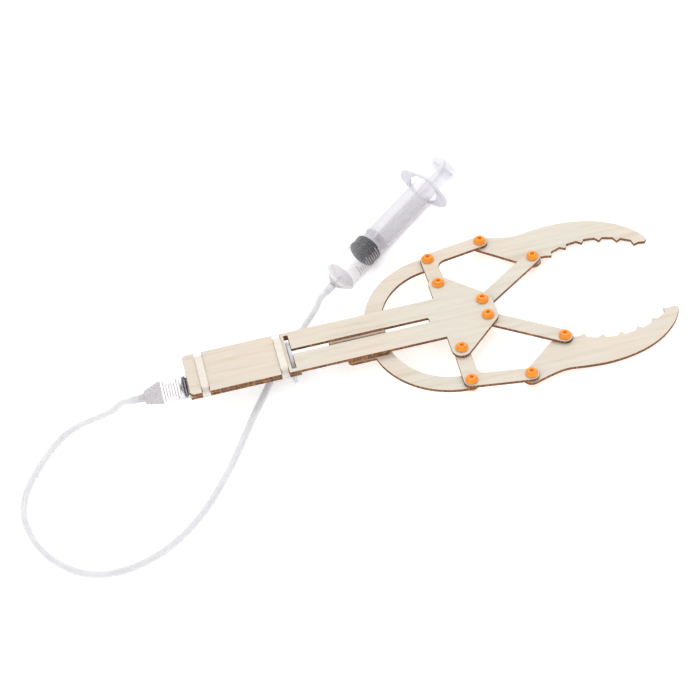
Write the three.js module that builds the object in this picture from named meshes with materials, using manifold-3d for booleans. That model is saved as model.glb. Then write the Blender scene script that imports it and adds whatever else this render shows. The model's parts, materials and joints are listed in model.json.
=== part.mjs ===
// A hydraulic claw kit: a flat plywood grabber driven by a syringe, and the hand syringe that works it.
// Water pushed through the hose moves the claw's plunger. The plunger slides a C-shaped plate,
// the plate swings two cranks, and the cranks carry two toothed jaws.
// Millimetres. +Z is up, +X points along the claw from its handle to its jaws, +Y is the claw's left.
import * as THREE from "three";
import { mergeVertices } from "three/addons/utils/BufferGeometryUtils.js";
import Module from "manifold-3d";

const wasm = await Module();
wasm.setup();

// ---- driving dimensions -------------------------------------------------------------------------
const SHEET = 2.2; // plywood thickness
const GAP = 0.3; // air between pieces that touch
const PITCH = SHEET + GAP; // from one layer of plywood to the next
const TOP_LAYER = 0; // the claw's z = 0 is the upper face of its top plate
const MIDDLE_LAYER = -PITCH;
const BOTTOM_LAYER = -2 * PITCH;

// Pivots on the claw's left side; the right side mirrors them. x = 0 is the line of the crank pivots.
const CRANK_PIVOT = [0, 30];
const LINK_PIVOT = [24, 7.2];
const DRIVE_PIN = [-0.6, 56];
const JAW_PIN = [37.3, 62];
const LINK_PIN = [67, 37.2];

const HANDLE_END = -176.5;
const ARM_HALF = 17.6;
const HANDLE_CORNER = 3;
const HEAD_EDGE = 6.6; // wood left around each pivot of the head
const RAIL = { to: -103.5, inner: 6 }; // the backing rails' front end, and half the gap between them

const GUIDE_SLOT = { from: -107, to: -14, width: 4.2 };
const FLANGE_SLOT = { x: -107.6, width: 2.8, length: 29.4 };
const TIE_X = [-166.2, -113.8];
const TIE_WIDTH = 4.8;
const TIE_THICKNESS = 1.2;
const TIE_BEND = 6.2; // the ties turn in towards the barrel at this depth, clear of the rails
// The lock and the tail sit on each strap: y and rise place them from the syringe's axis.
const TIE_LOCK = { size: [6.4, 4.4, 5.4], y: 11.7, rise: 1.6, lean: -34 };
const TIE_TAIL = { size: [4.2, 1.1, 5], y: 12.9, rise: -2.9, lean: -8 };
const NOTCH_WIDTH = 5.2;
const NOTCH_DEPTH = 5;

const CRANK_HALF = 5.1;
const CRANK_FILLET = 6;
const LINK_HALF = 5.2;
const JAW_HALF = 5.8;

const SLIDER = { from: -72.2, to: -43, corner: 3, armHalf: 5.7 };
const SLIDER_ARM = [[-49.4, 12.6], [-28.9, 45.5], [-0.6, 54.6]]; // three points on the arm's middle line
const DRIVE_SLOT_TRAVEL = 2.8; // how far the drive pin wanders inwards over the whole stroke
const DRIVE_SLOT_HALF = 2.1;

const BLADE = { from: -81.5, to: -44, top: 1.6, shoulder: -2.2, foot: -8.8, prong: -4.5 };
const BLADE_TAB = { from: -67, to: -47.5 };

// The teeth stand on a circle and point to its centre. Angles are in degrees.
const BITE = {
  centre: [103, -10], root: 55, tip: 52, count: 6, first: 116, pitch: 13, rise: 3.4, fall: 2.2,
};

// The jaw's outer edge from its toe back to the jaw pin.
const JAW_BACK = [
  [143.2, 30.6], [145, 32.6], [144, 36.6], [138, 45.2], [128, 53.8], [116, 59.9],
  [102, 63.6], [88, 64.8], [74.5, 63.9], [61.4, 62.3], [50.4, 64.1], [38.8, 67.6],
];

const RIVET = { head: 4.1, headHeight: 2.9, shank: 1.6, clipHeight: 2.1, tail: 1.2 };
const HOLE_PLAY = 0.25;
const LOOSE_HOLE = 2.3; // the jaw's hole for the link pin, which has to wander a little

const CLAW_SYRINGE = {
  outer: 8, inner: 7.3, length: 86.1, cone: 12, coneEnd: 4.4, nozzle: 8.6, nozzleBase: 3, nozzleTip: 2.3,
  drop: 1.4, wall: 1.6, bore: 1, flange: 2, flangeHalf: 12.2, wingReach: 10.5, wingRadius: 6,
  gasketAt: 11.7, discAt: 117.1, disc: 7.9, discThick: 2.2, rod: 5.6,
};
const HAND_SYRINGE = {
  outer: 11.4, inner: 10.3, length: 95, cone: 6.5, coneEnd: 4.6, nozzle: 9.5, nozzleBase: 3, nozzleTip: 2.3,
  drop: 0, wall: 1.8, bore: 1, flange: 2.2, flangeHalf: 12.5, wingReach: 12.8, wingRadius: 7.2,
  gasketAt: 21, discAt: 120.2, disc: 10.6, discThick: 2.4, rod: 8.4,
};
const AXIS_DEPTH = PITCH + CLAW_SYRINGE.outer; // the claw syringe's axis, below the top face
const HAND_PLACE = { x: -60, y: 64, heading: 38.9, roll: 19 }; // the barrel's shoulder, and degrees
const HOSE_RADIUS = 2.3;

const JAW_TOE = [144.6, -BOTTOM_LAYER + SHEET]; // the lowest corner of the jaws: x, and depth

const degrees = THREE.MathUtils.degToRad;

// ---- materials ----------------------------------------------------------------------------------
const paint = (color, roughness, metalness = 0) =>
  new THREE.MeshStandardMaterial({ color, roughness, metalness });
const plywood = () => paint(0xe6d8c0, 0.75);
const orangePlastic = () => paint(0xf07a1c, 0.35);
const clearPlastic = () => paint(0xe4e8ea, 0.25);
const whitePlastic = () => paint(0xe9e9e6, 0.4);
const blackRubber = () => paint(0x151515, 0.8);
const nylon = () => paint(0xe8e2d2, 0.5);
const hosePlastic = () => paint(0xe3e6e8, 0.3);

// ---- solids -------------------------------------------------------------------------------------
function solidOf(geometry) {
  const bare = geometry.clone();
  bare.deleteAttribute("normal");
  bare.deleteAttribute("uv");
  const merged = mergeVertices(bare, 1e-4);
  return new wasm.Manifold(
    new wasm.Mesh({
      numProp: 3,
      vertProperties: merged.attributes.position.array,
      triVerts: new Uint32Array(merged.index.array),
    }),
  );
}

function geometryOf(solid) {
  const { vertProperties, triVerts } = solid.getMesh();
  const geometry = new THREE.BufferGeometry();
  geometry.setAttribute("position", new THREE.BufferAttribute(vertProperties, 3));
  geometry.setIndex(new THREE.BufferAttribute(triVerts, 1));
  geometry.computeVertexNormals();
  return geometry;
}

const join = (...parts) => geometryOf(parts.map(solidOf).reduce((all, part) => all.add(part)));

const cut = (body, ...tools) =>
  geometryOf(tools.map(solidOf).reduce((left, tool) => left.subtract(tool), solidOf(body)));

function mesh(name, geometry, material, place = [0, 0, 0]) {
  const made = new THREE.Mesh(geometry, material);
  made.name = name;
  made.position.set(...place);
  return made;
}

// A box from its lower to its upper corner.
function box(low, high) {
  const size = high.map((value, i) => value - low[i]);
  const middle = high.map((value, i) => (value + low[i]) / 2);
  return new THREE.BoxGeometry(...size).translate(...middle);
}

// A round bar along +X.
const bar = (radius, from, to, sides = 24) =>
  new THREE.CylinderGeometry(radius, radius, to - from, sides)
    .rotateZ(Math.PI / 2)
    .translate((from + to) / 2, 0, 0);

// A solid of revolution about X: each profile point is [radius, x].
function turned(profile, sides = 24) {
  const points = profile.map(([radius, x]) => new THREE.Vector2(radius, x));
  return new THREE.LatheGeometry(points, sides).rotateZ(-Math.PI / 2);
}

const outline = (shape, depth, curveSegments = 6) =>
  new THREE.ExtrudeGeometry(shape, { depth, bevelEnabled: false, curveSegments });

// A flat piece of plywood about its own middle plane, so that it can be turned over for the other side.
const plank = (shape, curveSegments) => outline(shape, SHEET, curveSegments).translate(0, 0, -SHEET / 2);
const middleOf = (layer) => layer - SHEET / 2;

// An outline drawn in the YZ plane and drawn out along X, from one x to another.
function acrossX(shape, from, to, curveSegments) {
  const turn = new THREE.Matrix4().makeBasis(
    new THREE.Vector3(0, 1, 0),
    new THREE.Vector3(0, 0, 1),
    new THREE.Vector3(1, 0, 0),
  );
  return outline(shape, to - from, curveSegments).applyMatrix4(turn).translate(from, 0, 0);
}

function hole([x, y], radius) {
  const path = new THREE.Path();
  path.absarc(x, y, radius, 0, 2 * Math.PI, true);
  return path;
}

const angleOf = (from, to) => Math.atan2(to[1] - from[1], to[0] - from[0]);
const offset = ([x, y], angle, distance) => [
  x + distance * Math.cos(angle),
  y + distance * Math.sin(angle),
];
const mirrored = ([x, y]) => [x, -y];

// Where two lines cross, each given by a point and an angle.
function crossing(p, angleP, q, angleQ) {
  const along =
    ((q[0] - p[0]) * Math.sin(angleQ) - (q[1] - p[1]) * Math.cos(angleQ)) / Math.sin(angleQ - angleP);
  return offset(p, angleP, along);
}

// A straight bar with round ends.
function barShape(a, b, half) {
  const turn = angleOf(a, b);
  const shape = new THREE.Shape();
  shape.absarc(...b, half, turn - Math.PI / 2, turn + Math.PI / 2, false);
  shape.absarc(...a, half, turn + Math.PI / 2, turn + (3 * Math.PI) / 2, false);
  return shape;
}

// A bar bent once to the right, with round ends, a round elbow and a filleted inner corner.
function bentBarShape(a, elbow, c, half, fillet) {
  const first = angleOf(a, elbow);
  const second = angleOf(elbow, c);
  const right = -Math.PI / 2;
  const inner = crossing(offset(a, first + right, half), first, offset(c, second + right, half), second);
  const before = offset(inner, first + Math.PI, fillet);
  const after = offset(inner, second, fillet);
  const shape = new THREE.Shape();
  shape.moveTo(...offset(a, first + right, half));
  shape.lineTo(...before);
  shape.quadraticCurveTo(...inner, ...after);
  shape.lineTo(...offset(c, second + right, half));
  shape.absarc(...c, half, second + right, second - right, false);
  shape.absarc(...elbow, half, second - right, first - right, false);
  shape.absarc(...a, half, first - right, first - 3 * right, false);
  return shape;
}

// The circle through three points.
function circleThrough(a, b, c) {
  const midAB = [(a[0] + b[0]) / 2, (a[1] + b[1]) / 2];
  const midBC = [(b[0] + c[0]) / 2, (b[1] + c[1]) / 2];
  const centre = crossing(midAB, angleOf(a, b) + Math.PI / 2, midBC, angleOf(b, c) + Math.PI / 2);
  return { centre, radius: Math.hypot(a[0] - centre[0], a[1] - centre[1]) };
}

// A curved band of even width along the circle through three points, round at its far end.
function bandShape(points, half) {
  const { centre, radius } = circleThrough(...points);
  const start = angleOf(centre, points[0]);
  const end = angleOf(centre, points[2]);
  const shape = new THREE.Shape();
  shape.absarc(...centre, radius + half, start, end, true);
  shape.absarc(...points[2], half, end, end + Math.PI, true);
  shape.absarc(...centre, radius - half, end, start, false);
  return shape;
}

// A rectangle with round corners, in the plane of the plywood.
function roundedRectangle(from, to, halfWidth, corner) {
  const shape = new THREE.Shape();
  shape.absarc(to - corner, -halfWidth + corner, corner, -Math.PI / 2, 0, false);
  shape.absarc(to - corner, halfWidth - corner, corner, 0, Math.PI / 2, false);
  shape.absarc(from + corner, halfWidth - corner, corner, Math.PI / 2, Math.PI, false);
  shape.absarc(from + corner, -halfWidth + corner, corner, Math.PI, 1.5 * Math.PI, false);
  return shape;
}

// ---- the claw's fixed plates --------------------------------------------------------------------
const notches = () =>
  TIE_X.flatMap((x) =>
    [1, -1].map((side) => {
      const inner = side * (ARM_HALF - NOTCH_DEPTH);
      const outer = side * (ARM_HALF + 1);
      const low = [x - NOTCH_WIDTH / 2, Math.min(inner, outer), -SHEET];
      return box(low, [x + NOTCH_WIDTH / 2, Math.max(inner, outer), SHEET]);
    }),
  );

const flangeSlot = () =>
  box(
    [FLANGE_SLOT.x - FLANGE_SLOT.width / 2, -FLANGE_SLOT.length / 2, -SHEET],
    [FLANGE_SLOT.x + FLANGE_SLOT.width / 2, FLANGE_SLOT.length / 2, SHEET],
  );

// Handle, arm and head in one outline; the head hugs the four fixed pivots.
function topPlateShape() {
  const slope = angleOf(mirrored(CRANK_PIVOT), mirrored(LINK_PIVOT)) - Math.PI / 2;
  const shape = new THREE.Shape();
  const corner = HANDLE_CORNER;
  shape.absarc(HANDLE_END + corner, -ARM_HALF + corner, corner, Math.PI, 1.5 * Math.PI, false);
  shape.lineTo(-HEAD_EDGE, -ARM_HALF);
  shape.absarc(...mirrored(CRANK_PIVOT), HEAD_EDGE, Math.PI, 2 * Math.PI + slope, false);
  shape.absarc(...mirrored(LINK_PIVOT), HEAD_EDGE, slope, 0, false);
  shape.absarc(...LINK_PIVOT, HEAD_EDGE, 0, -slope, false);
  shape.absarc(...CRANK_PIVOT, HEAD_EDGE, -slope, Math.PI, false);
  shape.lineTo(-HEAD_EDGE, ARM_HALF);
  shape.absarc(HANDLE_END + corner, ARM_HALF - corner, corner, Math.PI / 2, Math.PI, false);
  for (const pivot of [CRANK_PIVOT, LINK_PIVOT])
    for (const place of [pivot, mirrored(pivot)]) shape.holes.push(hole(place, RIVET.shank + HOLE_PLAY));
  return shape;
}

function topPlate() {
  const { from, to, width } = GUIDE_SLOT;
  const guideSlot = outline(roundedRectangle(from, to, width / 2, 1), 2 * SHEET).translate(0, 0, -SHEET);
  const body = cut(plank(topPlateShape()), guideSlot, flangeSlot(), ...notches());
  return mesh("top_plate", body, plywood(), [0, 0, middleOf(TOP_LAYER)]);
}

// Two rails thicken the handle on either side of the syringe, which lies in the channel between them.
function backingRails() {
  const slab = box([HANDLE_END, RAIL.inner, -SHEET / 2], [RAIL.to, ARM_HALF, SHEET / 2]);
  return pair("backing_rail", cut(slab, flangeSlot(), ...notches()), MIDDLE_LAYER);
}

// ---- the slider ---------------------------------------------------------------------------------
const bladeSlot = () =>
  box(
    [BLADE_TAB.from - GAP, -SHEET / 2 - GAP, -SHEET],
    [BLADE_TAB.to + GAP, SHEET / 2 + GAP, SHEET],
  );

// The C-shaped plate: a base under the arm and two curved arms that reach the drive pins.
function sliderPlate() {
  const base = plank(roundedRectangle(SLIDER.from, SLIDER.to, ARM_HALF, SLIDER.corner), 5);
  const arm = plank(bandShape(SLIDER_ARM, SLIDER.armHalf), 9);
  const otherArm = arm.clone().rotateX(Math.PI);
  const [pinX, pinY] = DRIVE_PIN;
  const pinSlot = barShape([pinX, pinY + 0.2], [pinX, pinY - DRIVE_SLOT_TRAVEL - 0.2], DRIVE_SLOT_HALF);
  const slot = outline(pinSlot, 2 * SHEET, 6).translate(0, 0, -SHEET);
  const otherSlot = slot.clone().rotateX(Math.PI);
  const body = cut(join(base, arm, otherArm), slot, otherSlot, bladeSlot());
  return mesh("slider_plate", body, plywood(), [0, 0, middleOf(BOTTOM_LAYER)]);
}

// A block of plywood that fills the middle layer between the slider plate and the arm.
function sliderSpacer() {
  const shape = roundedRectangle(SLIDER.from, SLIDER.to - 1, ARM_HALF - 0.4, SLIDER.corner);
  const body = cut(plank(shape, 5), bladeSlot());
  return mesh("slider_spacer", body, plywood(), [0, 0, middleOf(MIDDLE_LAYER)]);
}

// The upright blade: it rides in the arm's long slot, and its notch holds the plunger's thumb disc.
function guideBlade() {
  const disc = CLAW_SYRINGE.discAt + shoulderX();
  const notchFrom = disc - CLAW_SYRINGE.discThick - GAP;
  const notchTo = disc + GAP;
  const notchTop = -AXIS_DEPTH + CLAW_SYRINGE.disc + GAP;
  const outlinePoints = [
    [BLADE.from, BLADE.top],
    [BLADE.from, BLADE.prong],
    [notchFrom, BLADE.prong],
    [notchFrom, notchTop],
    [notchTo, notchTop],
    [notchTo, BLADE.foot],
    [SLIDER.from - GAP, BLADE.foot],
    [SLIDER.from - GAP, BLADE.shoulder],
    [BLADE_TAB.from, BLADE.shoulder],
    [BLADE_TAB.from, BLADE.foot],
    [BLADE_TAB.to, BLADE.foot],
    [BLADE_TAB.to, BLADE.shoulder],
    [BLADE.to, BLADE.shoulder],
    [BLADE.to, BLADE.top],
  ].map(([x, z]) => new THREE.Vector2(x, z));
  const body = plank(new THREE.Shape(outlinePoints)).rotateX(Math.PI / 2);
  return mesh("guide_blade", body, plywood());
}

// ---- cranks, links and jaws ---------------------------------------------------------------------
function crank() {
  const shape = bentBarShape(CRANK_PIVOT, DRIVE_PIN, JAW_PIN, CRANK_HALF, CRANK_FILLET);
  for (const pin of [CRANK_PIVOT, DRIVE_PIN, JAW_PIN]) shape.holes.push(hole(pin, RIVET.shank + HOLE_PLAY));
  return plank(shape);
}

function link() {
  const shape = barShape(LINK_PIVOT, LINK_PIN, LINK_HALF);
  for (const pin of [LINK_PIVOT, LINK_PIN]) shape.holes.push(hole(pin, RIVET.shank + HOLE_PLAY));
  return plank(shape);
}

// A jaw: round ends about its two pins, a row of saw teeth, a blunt toe and a bowed back.
function jaw() {
  const backAngle = angleOf(JAW_PIN, LINK_PIN) + 1.5 * Math.PI;
  const shape = new THREE.Shape();
  shape.absarc(...JAW_PIN, JAW_HALF, degrees(75), backAngle, false);
  shape.absarc(...LINK_PIN, JAW_HALF, backAngle, degrees(366), false);
  for (let i = 0; i < BITE.count; i++) {
    const at = BITE.first - i * BITE.pitch;
    shape.lineTo(...offset(BITE.centre, degrees(at + BITE.rise), BITE.root));
    shape.lineTo(...offset(BITE.centre, degrees(at), BITE.tip));
    shape.lineTo(...offset(BITE.centre, degrees(at - BITE.fall), BITE.root));
  }
  shape.lineTo(...JAW_BACK[0]);
  shape.splineThru(JAW_BACK.slice(1).map(([x, y]) => new THREE.Vector2(x, y)));
  shape.holes.push(hole(JAW_PIN, RIVET.shank + HOLE_PLAY), hole(LINK_PIN, LOOSE_HOLE));
  return plank(shape, 8);
}

// One piece for each side. The right-hand one is the same piece turned over about the claw's axis.
function pair(name, geometry, layer) {
  const left = mesh(name + "_left", geometry, plywood(), [0, 0, middleOf(layer)]);
  const right = mesh(name + "_right", geometry, plywood(), [0, 0, middleOf(layer)]);
  right.rotation.x = Math.PI;
  return [left, right];
}

// ---- two-piece plastic rivets -------------------------------------------------------------------
// The head half has a domed button and a shank; the clip half snaps on to the tail from below.
function rivet(name, [x, y], upperLayer) {
  const under = upperLayer + GAP;
  const clipTop = upperLayer - PITCH - SHEET - GAP;
  const { head, headHeight, shank, clipHeight, tail } = RIVET;
  const profile = [
    [0, clipTop - tail],
    [shank, clipTop - tail],
    [shank, under],
    [head, under],
    [head, under + headHeight * 0.5],
    [head * 0.78, under + headHeight * 0.9],
    [head * 0.42, under + headHeight],
    [head * 0.34, under + headHeight * 0.8],
    [0, under + headHeight * 0.8],
  ];
  const clip = [
    [shank + GAP, clipTop],
    [shank + GAP, clipTop - tail - GAP],
    [0, clipTop - tail - GAP],
    [0, clipTop - clipHeight],
    [head * 0.8, clipTop - clipHeight],
    [head, clipTop - clipHeight * 0.55],
    [head, clipTop],
    [shank + GAP, clipTop],
  ];
  const upright = (points) => {
    const section = points.map(([radius, z]) => new THREE.Vector2(radius, z));
    return new THREE.LatheGeometry(section, 14).rotateX(Math.PI / 2);
  };
  return [
    mesh(`rivet_${name}`, upright(profile), orangePlastic(), [x, y, 0]),
    mesh(`rivet_clip_${name}`, upright(clip), orangePlastic(), [x, y, 0]),
  ];
}

function rivets() {
  const kinds = [
    ["crank_pivot", CRANK_PIVOT, TOP_LAYER],
    ["link_pivot", LINK_PIVOT, TOP_LAYER],
    ["drive", DRIVE_PIN, MIDDLE_LAYER],
    ["jaw", JAW_PIN, MIDDLE_LAYER],
    ["jaw_link", LINK_PIN, MIDDLE_LAYER],
  ];
  return kinds.flatMap(([name, place, layer]) => [
    ...rivet(name + "_left", place, layer),
    ...rivet(name + "_right", mirrored(place), layer),
  ]);
}

// ---- syringes: x runs from the barrel's shoulder at 0 to its open end ---------------------------
// The cone leans down to an off-centre nozzle: the slices slide down along the cone, and stay round.
function lowered(geometry, cone, drop) {
  const places = geometry.getAttribute("position");
  for (let i = 0; i < places.count; i++) {
    const share = THREE.MathUtils.clamp(-places.getX(i) / cone, 0, 1);
    places.setZ(i, places.getZ(i) - drop * share);
  }
  return geometry;
}

function barrel(size) {
  const { outer, inner, length, cone, coneEnd, nozzle, nozzleBase, nozzleTip, drop, wall, bore } = size;
  const tip = -cone - nozzle;
  const tube = lowered(turned([
    [bore, tip],
    [nozzleTip, tip],
    [nozzleBase, -cone],
    [coneEnd, -cone],
    [coneEnd + 0.4 * (outer - coneEnd), -cone * 0.55],
    [outer, 0],
    [outer, length],
    [inner, length],
    [inner, wall],
    [bore, wall - 1],
    [bore, tip],
  ]), cone, drop);
  const wings = [1, -1].map((side) => ({ y: side * size.wingReach, radius: size.wingRadius }));
  const lean = Math.acos((size.flangeHalf - size.wingRadius) / size.wingReach);
  const shape = new THREE.Shape();
  shape.absarc(0, 0, size.flangeHalf, lean, Math.PI - lean, false);
  shape.absarc(wings[1].y, 0, size.wingRadius, Math.PI - lean, Math.PI + lean, false);
  shape.absarc(0, 0, size.flangeHalf, Math.PI + lean, 2 * Math.PI - lean, false);
  shape.absarc(wings[0].y, 0, size.wingRadius, -lean, lean, false);
  shape.holes.push(hole([0, 0], (outer + inner) / 2));
  const flange = acrossX(shape, length - size.flange / 2, length + size.flange / 2, 9);
  return join(tube, flange);
}

// The rod has four ribs, a thumb disc at one end and a boss for the gasket at the other.
function plunger(size) {
  const front = size.gasketAt + 10.7;
  const rib = 0.8;
  const reach = size.rod;
  const rearFace = size.discAt;
  return join(
    box([front + 1, -rib, -reach], [rearFace - 1, rib, reach]),
    box([front + 1, -reach, -rib], [rearFace - 1, reach, rib]),
    bar(size.inner - 1.1, front, front + 1.6),
    bar(2.5, front - 4.5, front + 1, 16),
    bar(size.disc, rearFace - size.discThick, rearFace),
  );
}

// The gasket has a blunt cone in front and two sealing ridges.
function gasket(size) {
  const reach = size.inner - GAP;
  const at = (x) => size.gasketAt + x;
  return turned([
    [0, at(0)],
    [reach - 0.6, at(2.4)],
    [reach, at(2.8)],
    [reach, at(4.4)],
    [reach - 0.9, at(4.9)],
    [reach - 0.9, at(7.9)],
    [reach, at(8.4)],
    [reach, at(10.4)],
    [2.8, at(10.4)],
    [2.8, at(5.6)],
    [0, at(5.6)],
  ]);
}

// ---- cable ties ---------------------------------------------------------------------------------
// A taut loop: flat over the handle, down through the notches and round under the barrel.
function tieLoop(extra, Kind) {
  const half = ARM_HALF - NOTCH_DEPTH + GAP + extra;
  const reach = CLAW_SYRINGE.outer + GAP + extra;
  const shoulder = AXIS_DEPTH - TIE_BEND + extra / 2;
  const lean = Math.atan2(shoulder, half) - Math.acos(reach / Math.hypot(half, shoulder));
  const path = new Kind();
  path.moveTo(half, GAP + extra);
  path.lineTo(-half, GAP + extra);
  path.lineTo(-half, -AXIS_DEPTH + shoulder);
  path.absarc(0, -AXIS_DEPTH, reach, Math.PI - lean, 2 * Math.PI + lean, false);
  path.lineTo(half, -AXIS_DEPTH + shoulder);
  return path;
}

function cableTie(name, x) {
  const shape = tieLoop(TIE_THICKNESS, THREE.Shape);
  shape.holes.push(tieLoop(0, THREE.Path));
  const loop = acrossX(shape, x - TIE_WIDTH / 2, x + TIE_WIDTH / 2, 12);
  const lock = new THREE.BoxGeometry(...TIE_LOCK.size).translate(0, TIE_LOCK.size[1] / 2, 0);
  lock.rotateX(degrees(TIE_LOCK.lean)).translate(x, TIE_LOCK.y, TIE_LOCK.rise - AXIS_DEPTH);
  const tail = new THREE.BoxGeometry(...TIE_TAIL.size);
  tail.rotateX(degrees(TIE_TAIL.lean)).translate(x, TIE_TAIL.y, TIE_TAIL.rise - AXIS_DEPTH);
  return mesh(name, join(loop, lock, tail), nylon());
}

// ---- assembly -----------------------------------------------------------------------------------
function shoulderX() {
  return FLANGE_SLOT.x - CLAW_SYRINGE.length;
}

const group = new THREE.Group();

const claw = new THREE.Group();
claw.add(topPlate(), ...backingRails(), sliderPlate(), sliderSpacer(), guideBlade());
claw.add(...pair("crank", crank(), MIDDLE_LAYER));
claw.add(...pair("link", link(), MIDDLE_LAYER));
claw.add(...pair("jaw", jaw(), BOTTOM_LAYER));
claw.add(...rivets());
claw.add(cableTie("cable_tie_rear", TIE_X[0]), cableTie("cable_tie_front", TIE_X[1]));

const clawSyringe = new THREE.Group();
clawSyringe.position.set(shoulderX(), 0, -AXIS_DEPTH);
clawSyringe.add(
  mesh("claw_barrel", barrel(CLAW_SYRINGE), clearPlastic()),
  mesh("claw_plunger", plunger(CLAW_SYRINGE), whitePlastic()),
  mesh("claw_gasket", gasket(CLAW_SYRINGE), blackRubber()),
);
claw.add(clawSyringe);

// The claw lies on the lower edge of its syringe's flange and on the toes of its jaws, nose down.
const flangeFoot = [FLANGE_SLOT.x + CLAW_SYRINGE.flange / 2, AXIS_DEPTH + CLAW_SYRINGE.flangeHalf];
const tilt = Math.atan2(flangeFoot[1] - JAW_TOE[1], JAW_TOE[0] - flangeFoot[0]);
claw.rotation.y = tilt;
claw.position.z = flangeFoot[0] * Math.sin(tilt) + flangeFoot[1] * Math.cos(tilt);
group.add(claw);

// The hand syringe lies on the rim of its flange and on the front of its barrel.
const handSyringe = new THREE.Group();
handSyringe.rotation.order = "ZYX";
handSyringe.rotation.z = degrees(HAND_PLACE.heading);
handSyringe.rotation.y = -Math.asin((HAND_SYRINGE.flangeHalf - HAND_SYRINGE.outer) / HAND_SYRINGE.length);
handSyringe.rotation.x = degrees(HAND_PLACE.roll);
handSyringe.position.set(HAND_PLACE.x, HAND_PLACE.y, HAND_SYRINGE.outer + 0.05);
handSyringe.add(
  mesh("hand_barrel", barrel(HAND_SYRINGE), clearPlastic()),
  mesh("hand_plunger", plunger(HAND_SYRINGE), whitePlastic()),
  mesh("hand_gasket", gasket(HAND_SYRINGE), blackRubber()),
);
group.add(handSyringe);
group.updateMatrixWorld(true);

// ---- the hose -----------------------------------------------------------------------------------
// Both ends leave their nozzles straight, then the hose falls to the floor and loops under the handle.
function nozzleEnd(owner, size, beyond) {
  return owner.localToWorld(new THREE.Vector3(-size.cone - size.nozzle - beyond, 0, -size.drop));
}

const FLOOR_LINE = HOSE_RADIUS + 0.05;
const hoseRoute = [
  nozzleEnd(clawSyringe, CLAW_SYRINGE, GAP),
  nozzleEnd(clawSyringe, CLAW_SYRINGE, 7),
  [-227.4, -1.5, 14.8],
  [-237.4, -0.6, 11.2],
  [-247.6, 1, 7.2],
  [-257.6, 1.2, 3.8],
  [-266.4, -2.6, FLOOR_LINE],
  [-276.4, -13, FLOOR_LINE],
  [-286.8, -26.6, FLOOR_LINE],
  [-294.6, -41.4, FLOOR_LINE],
  [-297.6, -56, FLOOR_LINE],
  [-296, -70.4, FLOOR_LINE],
  [-290.6, -86.4, FLOOR_LINE],
  [-281.2, -101, FLOOR_LINE],
  [-269.4, -112, FLOOR_LINE],
  [-256.4, -118.2, FLOOR_LINE],
  [-242.6, -120, FLOOR_LINE],
  [-228.6, -118.2, FLOOR_LINE],
  [-215, -113.4, FLOOR_LINE],
  [-201.6, -105.6, FLOOR_LINE],
  [-187.6, -93.8, FLOOR_LINE],
  [-174.6, -78.8, FLOOR_LINE],
  [-162.6, -62.4, FLOOR_LINE],
  [-151.4, -44.6, FLOOR_LINE],
  [-140, -26, FLOOR_LINE],
  [-128.2, -8, FLOOR_LINE],
  [-118.4, 8.2, FLOOR_LINE],
  [-105.6, 23.8, FLOOR_LINE + 0.2],
  [-92.8, 35.6, FLOOR_LINE + 1.9],
  [-82.4, 45, FLOOR_LINE + 5.2],
  nozzleEnd(handSyringe, HAND_SYRINGE, 6),
  nozzleEnd(handSyringe, HAND_SYRINGE, GAP),
].map((point) => (point.isVector3 ? point : new THREE.Vector3(...point)));

function hose() {
  const section = new THREE.Shape();
  section.absarc(0, 0, HOSE_RADIUS, 0, 2 * Math.PI, false);
  const curve = new THREE.CatmullRomCurve3(hoseRoute, false, "centripetal");
  const geometry = new THREE.ExtrudeGeometry(section, {
    steps: 54,
    curveSegments: 5,
    bevelEnabled: false,
    extrudePath: curve,
  });
  return mesh("hose", geometry, hosePlastic());
}

// The origin is on the floor, under the middle of the claw and the hand syringe together.
const footprint = new THREE.Box3().setFromObject(group, true);
const middle = footprint.getCenter(new THREE.Vector3());
group.add(hose());
group.position.set(-middle.x, -middle.y, -footprint.min.z);

export default group;
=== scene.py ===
"""The looks of a hydraulic claw kit, built round its CAD frame, in metres and in the frame's axes.

A plywood claw is worked by one syringe, and a second syringe drives it through a hose.
Solids are drawn in millimetres, the claw and the syringes each in a local frame that a matrix places.
"""

import json
import math

import bmesh
import bpy
from mathutils import Matrix, Vector
from mathutils.geometry import tessellate_polygon


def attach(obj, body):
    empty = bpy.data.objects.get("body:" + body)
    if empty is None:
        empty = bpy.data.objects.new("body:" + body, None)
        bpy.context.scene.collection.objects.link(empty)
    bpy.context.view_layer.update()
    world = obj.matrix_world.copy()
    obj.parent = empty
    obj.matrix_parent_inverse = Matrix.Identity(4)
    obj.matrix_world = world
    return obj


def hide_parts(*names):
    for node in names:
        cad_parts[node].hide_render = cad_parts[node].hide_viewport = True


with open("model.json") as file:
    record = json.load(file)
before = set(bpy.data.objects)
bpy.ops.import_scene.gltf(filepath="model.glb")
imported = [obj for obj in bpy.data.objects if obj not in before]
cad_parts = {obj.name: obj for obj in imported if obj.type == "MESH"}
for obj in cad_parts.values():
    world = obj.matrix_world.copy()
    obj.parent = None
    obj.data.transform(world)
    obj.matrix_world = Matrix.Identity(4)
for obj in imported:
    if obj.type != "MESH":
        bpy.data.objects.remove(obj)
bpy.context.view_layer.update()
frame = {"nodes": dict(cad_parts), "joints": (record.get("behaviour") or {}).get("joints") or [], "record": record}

MM = 0.001

# ---- the camera ---------------------------------------------------------------------------------
CAMERA_PLACE = (-0.09304, -0.92491, 1.00631)
CAMERA_TURN = (40.98, 8.196, -13.159)  # degrees about X, Y and Z
CAMERA_LENS = 104.74  # millimetres, as the sensor's width is
CAMERA_SENSOR = 36
CAMERA_NEAR = 0.01


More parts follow.
